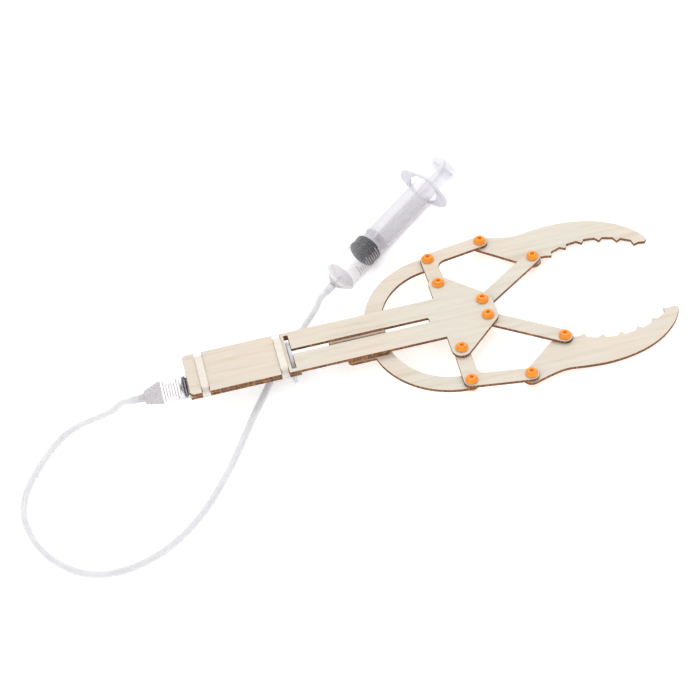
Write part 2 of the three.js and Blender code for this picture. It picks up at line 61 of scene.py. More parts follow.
def make_camera():
    data = bpy.data.cameras.new("camera")
    data.lens = CAMERA_LENS
    data.sensor_width = CAMERA_SENSOR
    data.clip_start = CAMERA_NEAR
    camera = bpy.data.objects.new("camera", data)
    camera.location = CAMERA_PLACE
    camera.rotation_euler = [math.radians(turn) for turn in CAMERA_TURN]
    bpy.context.scene.collection.objects.link(camera)
    bpy.context.scene.camera = camera


make_camera()

# ---- what the frame says ------------------------------------------------------------------------
behaviour = frame["record"]["behaviour"]
BODY_OF = {node: body for body, nodes in behaviour["bodies"].items() for node in nodes}
JOINTS = {joint["name"]: joint for joint in frame["joints"]}


def local_frame(origin, x_axis, up):
    """A matrix whose X runs along x_axis and whose Z is as near to up as it can be."""
    x = Vector(x_axis).normalized()
    y = Vector(up).cross(x).normalized()
    made = Matrix((x, y, x.cross(y))).transposed().to_4x4()
    made.translation = origin
    return made


def local_box(node, place):
    """The lowest and highest corner of a CAD node in a local frame, in millimetres."""
    inverse = place.inverted()
    points = [inverse @ vertex.co / MM for vertex in frame["nodes"][node].data.vertices]
    low = Vector([min(point[i] for point in points) for i in range(3)])
    high = Vector([max(point[i] for point in points) for i in range(3)])
    return low, high


def claw_frame():
    """X runs from the handle to the jaws, and Z = 0 is the upper face of the top plate."""
    pivots = [Vector(JOINTS[f"{side}_crank_pivot"]["pos_m"]) for side in ("left", "right")]
    middle = (pivots[0] + pivots[1]) / 2
    place = local_frame(middle, JOINTS["slider_travel"]["axis"], JOINTS["left_crank_pivot"]["axis"])
    top = local_box("top_plate", place)[1].z
    return place @ Matrix.Translation((0, 0, top * MM))


def syringe_frame(start, barrel, gasket, size, roll=0):
    """X runs from the barrel's shoulder at 0 to its open end, on the middle line of the bore."""
    low, high = local_box(gasket, start)
    shoulder = local_box(barrel, start)[0].x + size["cone"] + size["nozzle"]
    middle = Vector((shoulder, (low.y + high.y) / 2, (low.z + high.z) / 2))
    return start @ Matrix.Translation(middle * MM) @ Matrix.Rotation(math.radians(roll), 4, "X")


# Syringe sizes in millimetres. outer, inner, disc and rod are radii, rod being the reach of its ribs, and
# gasket_at and disc_at are places on X. The nozzle is slim enough for the hose to slip over it.
CLAW_SIZE = {
    "outer": 8, "inner": 7.3, "length": 86.1, "cone": 12, "cone_end": 4.4, "nozzle": 8.6,
    "nozzle_base": 2.9, "nozzle_tip": 1.9, "drop": 1.4, "wall": 1.6, "bore": 1, "flange": 2,
    "flange_half": 12.2, "wing_reach": 10.5, "wing_radius": 6,
    "gasket_at": 11.7, "disc_at": 117.1, "disc": 7.9, "disc_thick": 2.2, "rod": 5.6,
}
HAND_SIZE = {
    "outer": 11.4, "inner": 10.3, "length": 95, "cone": 6.5, "cone_end": 4.6, "nozzle": 9.5,
    "nozzle_base": 2.9, "nozzle_tip": 1.9, "drop": 0, "wall": 1.8, "bore": 1, "flange": 2.2,
    "flange_half": 12.5, "wing_reach": 12.8, "wing_radius": 7.2,
    "gasket_at": 21, "disc_at": 120.2, "disc": 10.6, "disc_thick": 2.4, "rod": 8.4,
}
HAND_ROLL = 19  # degrees by which the hand syringe has rolled over on its flange

CLAW = claw_frame()
CLAW_SYRINGE = syringe_frame(CLAW, "claw_barrel", "claw_gasket", CLAW_SIZE)
HAND_LEVEL = local_frame((0, 0, 0), JOINTS["hand_rod_travel"]["axis"], (0, 0, 1))
HAND_SYRINGE = syringe_frame(HAND_LEVEL, "hand_barrel", "hand_gasket", HAND_SIZE, HAND_ROLL)


# ---- materials ----------------------------------------------------------------------------------
def srgb(red, green, blue):
    """A colour of 0 to 255 as the linear RGBA that the shaders take."""
    return (*[((value / 255 + 0.055) / 1.055) ** 2.4 for value in (red, green, blue)], 1)


class Paint:
    """A Principled material and helpers for its procedural textures, with patterns in millimetres."""

    def __init__(self, name, colour, roughness, **sockets):
        self.material = bpy.data.materials.new(name)
        self.material.use_nodes = True
        self.nodes = self.material.node_tree.nodes
        self.links = self.material.node_tree.links
        self.shader = self.nodes["Principled BSDF"]
        self.shader.inputs["Base Color"].default_value = colour
        self.shader.inputs["Roughness"].default_value = roughness
        for socket, value in sockets.items():
            self.shader.inputs[socket.replace("_", " ")].default_value = value

    def add(self, kind, links=None, **settings):
        """A new node, with its settings and with its inputs linked by name."""
        node = self.nodes.new(kind)
        for name, value in settings.items():
            setattr(node, name, value)
        for name, source in (links or {}).items():
            self.links.new(source, node.inputs[name])
        return node

    def noise(self, size, detail=3, turn=(0, 0, 0)):
        """Noise with features of the given size along three axes, which may be turned."""
        place = self.add("ShaderNodeTexCoord").outputs["Object"]
        scaled = self.add("ShaderNodeMapping", {"Vector": place}, vector_type="TEXTURE")
        scaled.inputs["Rotation"].default_value = turn
        scaled.inputs["Scale"].default_value = [value * MM for value in size]
        made = self.add("ShaderNodeTexNoise", {"Vector": scaled.outputs["Vector"]})
        made.inputs["Scale"].default_value = 1
        made.inputs["Detail"].default_value = detail
        return made.outputs["Fac"]

    def ramp(self, factor, *stops):
        """Maps a factor to colours; each stop is (place, colour)."""
        made = self.add("ShaderNodeValToRGB", {"Fac": factor})
        elements = made.color_ramp.elements
        while len(elements) < len(stops):
            elements.new(0.5)
        for element, (place, colour) in zip(elements, stops):
            element.position = place
            element.color = colour
        return made.outputs["Color"]

    def spread(self, factor, low, high):
        """Maps noise, which keeps near 0.5, to the range from low to high."""
        made = self.add("ShaderNodeMapRange", {"Value": factor})
        for name, value in (("From Min", 0.3), ("From Max", 0.7), ("To Min", low), ("To Max", high)):
            made.inputs[name].default_value = value
        return made.outputs["Result"]

    def multiply(self, first, second, share=1.0):
        """The first colour, darkened by a share of the second."""
        mix = self.add("ShaderNodeMix", data_type="RGBA", blend_type="MULTIPLY")
        mix.inputs["Factor"].default_value = share
        self.links.new(first, mix.inputs["A"])
        self.links.new(second, mix.inputs["B"])
        return mix.outputs["Result"]

    def colour(self, source):
        self.links.new(source, self.shader.inputs["Base Color"])

    def roughness(self, source):
        self.links.new(source, self.shader.inputs["Roughness"])

    def bump(self, height, strength, depth):
        """Raises the surface by depth, in millimetres, where height is 1."""
        made = self.add("ShaderNodeBump", {"Height": height})
        made.inputs["Strength"].default_value = strength
        made.inputs["Distance"].default_value = depth * MM
        self.links.new(made.outputs["Normal"], self.shader.inputs["Normal"])


GRAIN = CLAW.to_euler()  # the grain follows the claw


def veneer():
    """Pale basswood face: long soft figure, fine fibres and a slight warm drift."""
    paint = Paint("veneer", srgb(213, 205, 194), 0.6)
    figure = paint.noise((50, 3, 3), 4, GRAIN)
    fibres = paint.noise((9, 0.25, 0.25), 2, GRAIN)
    drift = paint.noise((80, 50, 50), 1)
    tone = paint.ramp(
        figure, (0.28, srgb(206, 194, 179)), (0.45, srgb(214, 205, 194)), (0.7, srgb(219, 211, 201)))
    fibre_tone = paint.ramp(fibres, (0.3, srgb(244, 240, 234)), (0.6, (1, 1, 1, 1)))
    drift_tone = paint.ramp(drift, (0.35, srgb(255, 249, 243)), (0.65, srgb(249, 252, 250)))
    paint.colour(paint.multiply(paint.multiply(tone, fibre_tone, 0.7), drift_tone))
    paint.roughness(paint.spread(fibres, 0.52, 0.7))
    paint.bump(fibres, 0.2, 0.05)
    return paint.material


def burnt_edge():
    """The laser-cut rim of the plywood: char, brown and tan in streaks across the plies."""
    paint = Paint("burnt_edge", srgb(112, 73, 43), 0.75)
    streaks = paint.noise((1.1, 1.1, 6), 4, GRAIN)
    plies = paint.noise((20, 20, 0.9), 1, GRAIN)
    char = paint.ramp(
        streaks, (0.27, srgb(70, 45, 32)), (0.5, srgb(130, 86, 51)), (0.72, srgb(188, 136, 84)))
    layers = paint.ramp(plies, (0.35, srgb(190, 166, 150)), (0.6, srgb(255, 244, 230)))
    paint.colour(paint.multiply(char, layers, 0.8))
    paint.roughness(paint.spread(streaks, 0.62, 0.85))
    paint.bump(streaks, 0.5, 0.08)
    return paint.material


def orange_plastic():
    """Glossy moulded orange."""
    paint = Paint(
        "orange_plastic", srgb(241, 141, 0), 0.25, Coat_Weight=0.2, Coat_Roughness=0.05,
        Specular_IOR_Level=0.35)
    mottle = paint.noise((2, 2, 2), 2)
    paint.colour(paint.ramp(mottle, (0.3, srgb(235, 131, 0)), (0.7, srgb(244, 151, 0))))
    paint.roughness(paint.spread(paint.noise((0.5, 0.5, 0.5), 3), 0.2, 0.32))
    paint.bump(paint.noise((1.1, 1.1, 1.1), 2), 0.12, 0.05)
    return paint.material


EDGE_BLEND = 0.12  # the lower, the narrower a curved wall's cloudy edges


def see_through(paint, facing, grazing):
    """Lets light through a thin wall: facing and grazing are its cover seen square on and edge on."""
    weight = paint.add("ShaderNodeLayerWeight")
    weight.inputs["Blend"].default_value = EDGE_BLEND
    made = paint.add("ShaderNodeMapRange", {"Value": weight.outputs["Facing"]})
    made.inputs["To Min"].default_value = facing
    made.inputs["To Max"].default_value = grazing
    paint.links.new(made.outputs["Result"], paint.shader.inputs["Alpha"])


def clear_plastic():
    """The thin clear polypropylene of a syringe's barrel."""
    paint = Paint("clear_plastic", srgb(205, 202, 208), 0.1, Specular_IOR_Level=0.45)
    flow = paint.noise((14, 14, 14), 3)
    paint.colour(paint.ramp(flow, (0.3, srgb(198, 195, 202)), (0.7, srgb(211, 209, 214))))
    paint.roughness(paint.spread(flow, 0.06, 0.16))
    paint.bump(flow, 0.1, 0.05)
    see_through(paint, 0.05, 0.65)
    return paint.material


def frosted_plastic():
    """The thicker, cloudier plastic of a barrel's flange."""
    paint = Paint("frosted_plastic", srgb(218, 216, 223), 0.3)
    cloud = paint.noise((5, 5, 5), 3)
    paint.colour(paint.ramp(cloud, (0.3, srgb(213, 211, 219)), (0.7, srgb(223, 221, 227))))
    paint.roughness(paint.spread(cloud, 0.24, 0.38))
    paint.bump(cloud, 0.1, 0.05)
    see_through(paint, 0.74, 0.96)
    return paint.material


def cone_shade_plastic():
    """The plastic of a barrel's cone and nozzle, greyed darker than the barrel as painted shade for the shading of
    its moulded ridges.
    """
    paint = Paint("cone_shade_plastic", srgb(162, 153, 159), 0.22)
    cloud = paint.noise((8, 8, 8), 2)
    paint.colour(paint.ramp(cloud, (0.3, srgb(154, 145, 152)), (0.7, srgb(170, 162, 167))))
    paint.roughness(paint.spread(cloud, 0.16, 0.3))
    paint.bump(cloud, 0.05, 0.04)
    see_through(paint, 0.46, 0.92)
    return paint.material


def white_plastic():
    """The milky polypropylene of a syringe's rod."""
    paint = Paint("white_plastic", srgb(234, 233, 238), 0.3)
    cloud = paint.noise((12, 4, 4), 3)
    paint.colour(paint.ramp(cloud, (0.3, srgb(230, 229, 235)), (0.7, srgb(238, 237, 241))))
    paint.roughness(paint.spread(cloud, 0.25, 0.38))
    paint.bump(cloud, 0.12, 0.05)
    see_through(paint, 0.5, 0.85)
    return paint.material


def black_rubber():
    paint = Paint("black_rubber", srgb(16, 18, 25), 0.26, Specular_IOR_Level=0.3)
    dust = paint.noise((1.4, 1.4, 1.4), 4)
    paint.colour(paint.ramp(dust, (0.3, srgb(12, 14, 20)), (0.7, srgb(28, 31, 39))))
    paint.roughness(paint.spread(dust, 0.2, 0.34))
    paint.bump(dust, 0.15, 0.05)
    return paint.material


def nylon():
    """The cream of the cable ties."""
    paint = Paint("nylon", srgb(221, 212, 201), 0.36)
    cloud = paint.noise((3, 3, 3), 3)
    paint.colour(paint.ramp(cloud, (0.3, srgb(217, 207, 195)), (0.7, srgb(225, 217, 207))))
    paint.roughness(paint.spread(cloud, 0.3, 0.44))
    paint.bump(paint.noise((1.6, 0.3, 0.3), 2), 0.15, 0.05)
    return paint.material


def hose_plastic():
    """The soft cloudy hose."""
    paint = Paint("hose_plastic", srgb(231, 231, 234), 0.25)
    haze = paint.noise((12, 12, 12), 2)
    paint.colour(paint.ramp(haze, (0.3, srgb(227, 227, 231)), (0.7, srgb(235, 235, 237))))
    paint.roughness(paint.spread(haze, 0.2, 0.32))
    paint.bump(haze, 0.04, 0.04)
    see_through(paint, 0.6, 0.92)
    return paint.material


def printed_ink():
    paint = Paint("printed_ink", srgb(170, 160, 164), 0.5)
    wear = paint.noise((0.7, 0.7, 0.7), 3)
    paint.colour(paint.ramp(wear, (0.35, srgb(156, 145, 150)), (0.7, srgb(188, 179, 183))))
    paint.roughness(paint.spread(wear, 0.4, 0.6))
    return paint.material


VENEER = veneer()
BURNT = burnt_edge()
ORANGE = orange_plastic()
CLEAR = clear_plastic()
FROSTED = frosted_plastic()
# the cone and nozzle's plastic, whose darker grey is painted shade of the ridged cone
CONE_SHADE = cone_shade_plastic()
WHITE = white_plastic()
RUBBER = black_rubber()
NYLON = nylon()
HOSE_SKIN = hose_plastic()
INK = printed_ink()


# ---- solids -------------------------------------------------------------------------------------
class Solid:
    """Points in millimetres, faces, and each face's place in the list of materials."""

    def __init__(self):
        self.points = []
        self.faces = []
        self.kinds = []

    def ring(self, points):
        first = len(self.points)
        self.points.extend(Vector(point) for point in points)
        return list(range(first, len(self.points)))

    def face(self, corners, kind=0):
        self.faces.append(corners)
        self.kinds.append(kind)

    def band(self, lower, upper, kind=0):
        """Faces between two closed rings; a ring of one point makes a fan."""
        count = max(len(lower), len(upper))
        for i in range(count):
            j = (i + 1) % count
            near = [lower[i % len(lower)], lower[j % len(lower)]]
            far = [upper[j % len(upper)], upper[i % len(upper)]]
            corners = list(dict.fromkeys(near + far))
            if len(corners) > 2:
                self.face(corners, kind)

    def moved(self, change):
        """Changes each point by a function or a matrix, and gives the solid back."""
        self.points = [change(point) if callable(change) else change @ point for point in self.points]
        return self

    def joined(self, *others):
        """Takes in the other solids, and gives this one back."""
        for other in others:
            first = len(self.points)
            self.points.extend(other.points)
            self.faces.extend([corner + first for corner in face] for face in other.faces)
            self.kinds.extend(other.kinds)
        return self

    def piece(self, name, place, *materials, crease=32):
        """Edges that turn by more than crease, in degrees, are sharp.
        """
        mesh = bpy.data.meshes.new(name)
        mesh.from_pydata([place @ (point * MM) for point in self.points], [], self.faces)
        for material in materials:
            mesh.materials.append(material)
        mesh.polygons.foreach_set("material_index", self.kinds)
        mesh.polygons.foreach_set("use_smooth", [True] * len(self.faces))
        work = bmesh.new()
        work.from_mesh(mesh)
        bmesh.ops.recalc_face_normals(work, faces=work.faces)
        work.to_mesh(mesh)
        work.free()
        mesh.set_sharp_from_angle(angle=math.radians(crease))
        made = bpy.data.objects.new(name, mesh)
        bpy.context.scene.collection.objects.link(made)
        return made


def settle(piece, node):
    """The piece stands for a CAD node, whose mesh it hides, and rides on its body."""
    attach(piece, BODY_OF[node])
    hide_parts(node)


def along_x(solid):
    """Turns a solid drawn about Z so that it lies about X; what was drawn along X lies along Y."""
    return solid.moved(lambda point: Vector((point.z, point.x, point.y)))


def rounded(points, radius, closed=False, steps=4, sharpest=12):
    """Rounds the corners of an outline or a profile that turn by more than sharpest degrees."""
    made = []
    count = len(points)
    for i, point in enumerate(points):
        if not closed and i in (0, count - 1):
            made.append(tuple(point))
            continue
        here = Vector(point)
        back = Vector(points[i - 1]) - here
        ahead = Vector(points[(i + 1) % count]) - here
        if math.degrees(math.pi - back.angle(ahead)) < sharpest:
            made.append(tuple(point))
            continue
        reach = min(radius, 0.45 * back.length, 0.45 * ahead.length)
        start = here + back.normalized() * reach
        end = here + ahead.normalized() * reach
        for step in range(steps + 1):
            share = step / steps
            bend = start * (1 - share) ** 2 + here * 2 * share * (1 - share) + end * share**2
            made.append(tuple(bend))
    return made


def circle(radius, sides=64, clockwise=False):
    turn = -1 if clockwise else 1
    angles = [turn * 2 * math.pi * i / sides for i in range(sides)]
    return [(radius * math.cos(angle), radius * math.sin(angle)) for angle in angles]


def lathe(profile, sides=64):
    """A solid of revolution about Z: its profile of (radius, z) is closed, or has its ends on the axis."""
    solid = Solid()
    rings = []
    closed = profile[0] == profile[-1]
    for radius, z in profile[: -1 if closed else None]:
        outline = circle(radius, sides) if radius > 0 else [(0, 0)]
        rings.append(solid.ring((*point, z) for point in outline))
    for lower, upper in zip(rings, rings[1:] + rings[:1] if closed else rings[1:]):
        solid.band(lower, upper)
    return solid


NARROWEST_SPREAD = 0.4  # keeps an inset from shooting past a sharp corner


def inset(loop, distance):
    """The loop moved to its left, into the material, whether it is an outline or a hole."""
    made = []
    for i, point in enumerate(loop):
        here = Vector(point)
        before = (here - Vector(loop[i - 1])).normalized()
        after = (Vector(loop[(i + 1) % len(loop)]) - here).normalized()
        normals = Vector((-before.y, before.x)), Vector((-after.y, after.x))
        spread = max(NARROWEST_SPREAD, 1 + normals[0].dot(normals[1]))
        made.append(tuple(here + (normals[0] + normals[1]) * (distance / spread)))
    return made


def slab(loops, low, high, chamfer, seams=(), groove=0.05, seam_half=0.07):
    """A plate with a chamfered rim: its first loop runs anticlockwise, and the holes after it clockwise.

    Seams are heights at which the rim is grooved. The flat faces have material 0, and the rim material 1.
    """
    rows = [(chamfer, high), (0, high - chamfer)]
    for seam in sorted(seams, reverse=True):
        rows += [(0, seam + seam_half), (groove, seam), (0, seam - seam_half)]
    rows += [(0, low + chamfer), (chamfer, low)]
    solid = Solid()
    caps = {high: [], low: []}
    for loop in loops:
        rings = [solid.ring((*point, z) for point in inset(loop, depth)) for depth, z in rows]
        for upper, lower in zip(rings, rings[1:]):
            solid.band(lower, upper, 1)
        caps[high].append(rings[0])
        caps[low].append(rings[-1])
    for rings in caps.values():
        flat = [[solid.points[i].xy.to_3d() for i in ring] for ring in rings]
        corners = [i for ring in rings for i in ring]
        for triangle in tessellate_polygon(flat):
            solid.face([corners[i] for i in triangle])
    return solid


def whole(solid, kind=0):
    """Gives the whole solid one material."""
    solid.kinds = [kind] * len(solid.kinds)
    return solid


def rectangle(half_x, half_y, corner):
    points = [(half_x, -half_y), (half_x, half_y), (-half_x, half_y), (-half_x, -half_y)]
    return rounded(points, corner, closed=True)


def block(size, corner):
    """A box about the origin with round corners and a small chamfer above and below."""
    x, y, z = size
    chamfer = 0.8 * min(corner, 0.35)
    return whole(slab([rectangle(x / 2, y / 2, corner)], -z / 2, z / 2, chamfer))


# ---- plywood ------------------------------------------------------------------------------------
RIM_CHAMFER = 0.12
PLIES = 3
STRAIGHT = math.radians(0.4)  # a point that turns less than this lies on a straight stretch
ARC_STEP = math.radians(5)  # fineness of the round stretches
ARC_LIMIT = math.radians(36)  # a corner that turns more than this is a real corner
CHORDS_ALIKE = (0.45, 2.2)  # least and most ratio of two neighbouring chords of one round stretch
WELD = 1e-3  # points this close, in millimetres, are one
LEVEL = 0.01  # how closely, in millimetres, the corners of the upper face share a height


def flat_loops(node, place):
    """The edges of a CAD node's upper flat face, as loops of (x, y) in millimetres."""
    inverse = place.inverted()
    work = bmesh.new()
    work.from_mesh(frame["nodes"][node].data)
    work.transform(Matrix.Scale(1 / MM, 4) @ inverse)
    bmesh.ops.remove_doubles(work, verts=work.verts, dist=WELD)
    top = max(vertex.co.z for vertex in work.verts)
    upper = {face for face in work.faces if all(top - vertex.co.z < LEVEL for vertex in face.verts)}
    following = {
        corner.vert: corner.link_loop_next.vert
        for face in work.faces  # in the mesh's own order, so that each run gives the same loops
        if face in upper
        for corner in face.loops
        if not any(other in upper for other in corner.edge.link_faces if other is not face)
    }
    loops = []
    while following:
        start, vertex = following.popitem()
        loop = [start.co.xy]
        while vertex is not start:
            loop.append(vertex.co.xy)
            vertex = following.pop(vertex)
        loops.append(loop)
    work.free()
    loops.sort(key=lambda loop: -abs(area(loop)))
    return [loop if (area(loop) > 0) == (i == 0) else loop[::-1] for i, loop in enumerate(loops)]


def area(loop):
    """The area in a loop, which is below 0 where it runs clockwise."""
    return sum(a[0] * b[1] - b[0] * a[1] for a, b in zip(loop, loop[1:] + loop[:1])) / 2


def turn_at(loop, i):
    """How far the loop turns to the left at a point, in radians."""
    before = Vector(loop[i]) - Vector(loop[i - 1])
    after = Vector(loop[(i + 1) % len(loop)]) - Vector(loop[i])
    return math.atan2(before.x * after.y - before.y * after.x, before.dot(after))


def straightened(loop):
    """Drops the points that lie on a straight stretch."""
    return [point for i, point in enumerate(loop) if abs(turn_at(loop, i)) > STRAIGHT]


def finer(loop):
    """Turns the short chords of round stretches into arcs, and leaves corners and long edges alone."""
    loop = straightened(loop)
    count = len(loop)
    turns = [turn_at(loop, i) for i in range(count)]
    sides = [Vector(loop[(i + 1) % count]) - Vector(loop[i]) for i in range(count)]
    made = []
    for i in range(count):
        j = (i + 1) % count
        made.append(tuple(loop[i]))
        ends = turns[i], turns[j]
        same_way = ends[0] * ends[1] > 0
        gentle = max(abs(turn) for turn in ends) < ARC_LIMIT
        length = sides[i].length
        least, most = CHORDS_ALIKE
        alike = any(least < length / sides[k].length < most for k in (i - 1, j))
        if not (same_way and gentle and alike):
            continue
        turn = math.copysign(max(abs(end) for end in ends), ends[0])
        steps = max(1, math.ceil(abs(turn) / ARC_STEP))
        radius = length / (2 * math.sin(abs(turn) / 2))
        across = Vector((sides[i].y, -sides[i].x)).normalized() * math.copysign(1, turn)
        middle = (Vector(loop[i]) + Vector(loop[j])) / 2
        centre = middle - across * radius * math.cos(turn / 2)
        start = Vector(loop[i]) - centre
        for step in range(1, steps):
            made.append(tuple(centre + Matrix.Rotation(turn * step / steps, 2) @ start))
    return made


def wooden(node, place):
    """The plywood piece that stands for a CAD node, with an eased rim, its plies and a burnt edge."""
    low, high = local_box(node, place)
    loops = [finer(loop) for loop in flat_loops(node, place)]
    seams = [low.z + (high.z - low.z) * i / PLIES for i in range(1, PLIES)]
    solid = slab(loops, low.z, high.z, RIM_CHAMFER, seams)
    settle(solid.piece(node + "_plywood", place, VENEER, BURNT), node)


UPRIGHT = CLAW @ Matrix.Rotation(math.radians(90), 4, "X")  # for a plate that stands on its edge
FLAT_PLATES = ["top_plate", "backing_rail_left", "backing_rail_right", "slider_plate", "slider_spacer"]
for side in ("left", "right"):
    FLAT_PLATES += [f"crank_{side}", f"link_{side}", f"jaw_{side}"]
for plate in FLAT_PLATES:
    wooden(plate, CLAW)
wooden("guide_blade", UPRIGHT)

# ---- push rivets --------------------------------------------------------------------------------
RIVET_HEIGHT = 2.9  # of the head, and of its straight foot
RIVET_FOOT = 1.1
RIVET_HEAD = 4.1  # radii of the head, of its raised button, of the hole in it, and of the shank
RIVET_BUTTON = 3.1
RIVET_HOLE = 1.25
RIVET_SHANK = 1.6
RIVET_SHANK_TIP = 1.15
CLIP_DEPTH = 1.5  # of the clip's hole for the shank
CLIP_HOLE = 1.9  # radii of that hole, of the clip's button, and of the dimple in it
CLIP_BUTTON = 3.1
CLIP_DIMPLE = 1.3
RIVET_SIDES = 40


def turned_rivet(node, profile, corner):
    """A turned orange piece on a CAD node's upright axis; its profile is (radius, z) in the claw's frame."""
    low, high = local_box(node, CLAW)
    axis = Matrix.Translation(((low.x + high.x) / 2, (low.y + high.y) / 2, 0))
    solid = lathe(rounded(profile, corner), RIVET_SIDES).moved(axis)
    settle(solid.piece(node + "_moulded", CLAW, ORANGE, crease=50), node)


def rivet_head(node):
    """A stepped button with a deep hole in its middle, on a shank."""
    low, high = local_box(node, CLAW)
    under = high.z - RIVET_HEIGHT
    profile = [
        (0, low.z), (RIVET_SHANK_TIP, low.z), (RIVET_SHANK, low.z + 0.6), (RIVET_SHANK, under),
        (RIVET_HEAD, under), (RIVET_HEAD, under + RIVET_FOOT),
        (RIVET_BUTTON + 0.4, under + RIVET_FOOT + 0.4), (RIVET_BUTTON, high.z - 0.4),
        (RIVET_BUTTON - 0.6, high.z), (RIVET_HOLE + 0.25, high.z), (RIVET_HOLE, high.z - 0.4),
        (RIVET_HOLE, high.z - 1.5), (0, high.z - 1.7),
    ]
    turned_rivet(node, profile, 0.45)


def rivet_clip(node):
    """The ring that snaps on to the shank from below."""
    low, high = local_box(node, CLAW)
    profile = [
        (CLIP_HOLE, high.z), (CLIP_HOLE, high.z - CLIP_DEPTH), (0, high.z - CLIP_DEPTH), (0, low.z + 0.2),
        (CLIP_DIMPLE, low.z + 0.2), (CLIP_DIMPLE + 0.3, low.z), (CLIP_BUTTON, low.z),
        (CLIP_BUTTON + 0.7, low.z + 0.5), (RIVET_HEAD, low.z + 1.1), (RIVET_HEAD, high.z),
        (CLIP_HOLE, high.z),
    ]
    turned_rivet(node, profile, 0.3)


for pin in ("crank_pivot", "link_pivot", "drive", "jaw", "jaw_link"):
    for side in ("left", "right"):
        rivet_head(f"rivet_{pin}_{side}")
        rivet_clip(f"rivet_clip_{pin}_{side}")


# ---- syringes -----------------------------------------------------------------------------------
SYRINGE_SIDES = 72
CONE_RIDGE = 0.35  # how far a moulded ridge stands out of the cone
RIB_HALF = 0.8  # half the thickness of the rod's ribs
GASKET_LENGTH = 10.4
ROD_STUB = 2.5  # the radius of the stub that the gasket grips
THUMB_RINGS = (0.86, 0.68, 0.5, 0.32)  # radii of the grooves in the thumb disc, as shares of its own
THUMB_GROOVE = 0.35  # the depth of those grooves
PRINT_HEIGHT = 0.05
SUNK = 0.02  # how far the flange and the print reach into the barrel


def lowered(size):
    """A change of points that leans the cone down to an off-centre nozzle."""

    def change(point):
        share = min(1, max(0, -point.x / size["cone"]))
        return Vector((point.x, point.y, point.z - size["drop"] * share))

    return change


def barrel_shell(size, rings):
    """The tube with its cone and nozzle, and with a number of moulded rings round the cone."""
    tip = -size["cone"] - size["nozzle"]
    slope = (size["outer"] - size["cone_end"]) / size["cone"]
    cone = [(size["cone_end"], -size["cone"])]
    for i in range(rings):
        x = -size["cone"] * (1 - (i + 0.7) / (rings + 1))
        radius = size["outer"] + slope * x
        crest = radius + CONE_RIDGE
        cone += [(radius - 0.2, x - 0.5), (crest, x - 0.25), (crest, x + 0.25), (radius, x + 0.5)]
    profile = [
        (size["bore"], tip), (size["nozzle_tip"], tip), (size["nozzle_base"], -size["cone"]), *cone,
        (size["outer"], 0), (size["outer"], size["length"]), (size["inner"], size["length"]),
        (size["inner"], size["wall"]), (size["bore"], size["wall"] - 1), (size["bore"], tip),
    ]
    body = rounded(profile[:-1], 0.5, closed=True)
    shell = lathe([*body, body[0]], SYRINGE_SIDES)
    # The cone and the nozzle take material 2, whose darker grey is painted shade for the ridged cone.
    for i, face in enumerate(shell.faces):
        if all(shell.points[corner].z < 0 for corner in face):
            shell.kinds[i] = 2
    return along_x(shell).moved(lowered(size))


def flange_outline(size):
    """A disc with two round wings, in the plane across the barrel."""
    half, reach, wing = size["flange_half"], size["wing_reach"], size["wing_radius"]
    lean = math.acos((half - wing) / reach)

    def arc(centre_x, radius, start, end, steps=18):
        angles = [start + (end - start) * i / steps for i in range(steps)]
        return [(centre_x + radius * math.cos(angle), radius * math.sin(angle)) for angle in angles]

    return (
        arc(0, half, lean, math.pi - lean)
        + arc(-reach, wing, math.pi - lean, math.pi + lean)
        + arc(0, half, math.pi + lean, 2 * math.pi - lean)
        + arc(reach, wing, -lean, lean)
    )


def flange(size):
    low = size["length"] - size["flange"] / 2
    high = size["length"] + size["flange"] / 2
    bore = circle(size["outer"] - SUNK, SYRINGE_SIDES, clockwise=True)
    return along_x(whole(slab([flange_outline(size), bore], low, high, 0.4), 1))


def scale_marks(size, start, end, pitch, half_line, facing, reach, long_reach, every=5, steps=8):
    """Printed graduations: arcs on the barrel about the direction that facing names, in degrees."""
    solid = Solid()
    low, high = size["outer"] - SUNK, size["outer"] + PRINT_HEIGHT
    count = int((end - start) / pitch)
    for i in range(count + 1):
        half = math.radians(long_reach if i % every == 0 else reach) / 2
        x = start + i * pitch
        left, right = x - half_line, x + half_line
        section = [(left, low), (right, low), (right, high), (left, high)]
        rings = []
        for step in range(steps + 1):
            angle = math.radians(facing) - half + 2 * half * step / steps
            rings.append(solid.ring((at, r * math.cos(angle), r * math.sin(angle)) for at, r in section))
        for lower, upper in zip(rings, rings[1:]):
            solid.band(lower, upper)
        solid.face(rings[0])
        solid.face(rings[-1])
    return solid


def barrel(kind, size, place, rings, marks):
    """The shell with its flange, and the marks printed on it."""
    node = kind + "_barrel"
    shell = barrel_shell(size, rings).joined(flange(size))
    shell_piece = shell.piece(node + "_shell", place, CLEAR, FROSTED, CONE_SHADE, crease=40)
    settle(shell_piece, node)
    print_piece = scale_marks(size, **marks).piece(node + "_scale", place, INK)
    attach(print_piece, BODY_OF[node])


def cross_outline(reach, half, corner):
    """A plus sign with round corners."""
    quarter = [(reach, -half), (reach, half), (half, half)]
    points = []
    for turn in range(4):
        turned = Matrix.Rotation(turn * math.pi / 2, 2)
        points += [tuple(turned @ Vector(point)) for point in quarter]
    return rounded(points, corner, closed=True, steps=3)


def disc(radius, start, end, corner=0.4):
    """A round plate about X."""
    profile = [(0, start), (radius, start), (radius, end), (0, end)]
    return along_x(lathe(rounded(profile, corner)))


def thumb_disc(size):
    """The disc that the thumb pushes, with raised rings on its face."""
    face, back = size["disc_at"], size["disc_at"] - size["disc_thick"]
    groove = face - THUMB_GROOVE
    profile = [(0, back), (size["disc"], back), (size["disc"], face)]
    for share in THUMB_RINGS:
        radius = size["disc"] * share
        profile += [(radius + 0.5, face), (radius + 0.3, groove)]
        profile += [(radius - 0.3, groove), (radius - 0.5, face)]
    profile.append((0, face))
    return along_x(lathe(rounded(profile, 0.35, steps=3)))


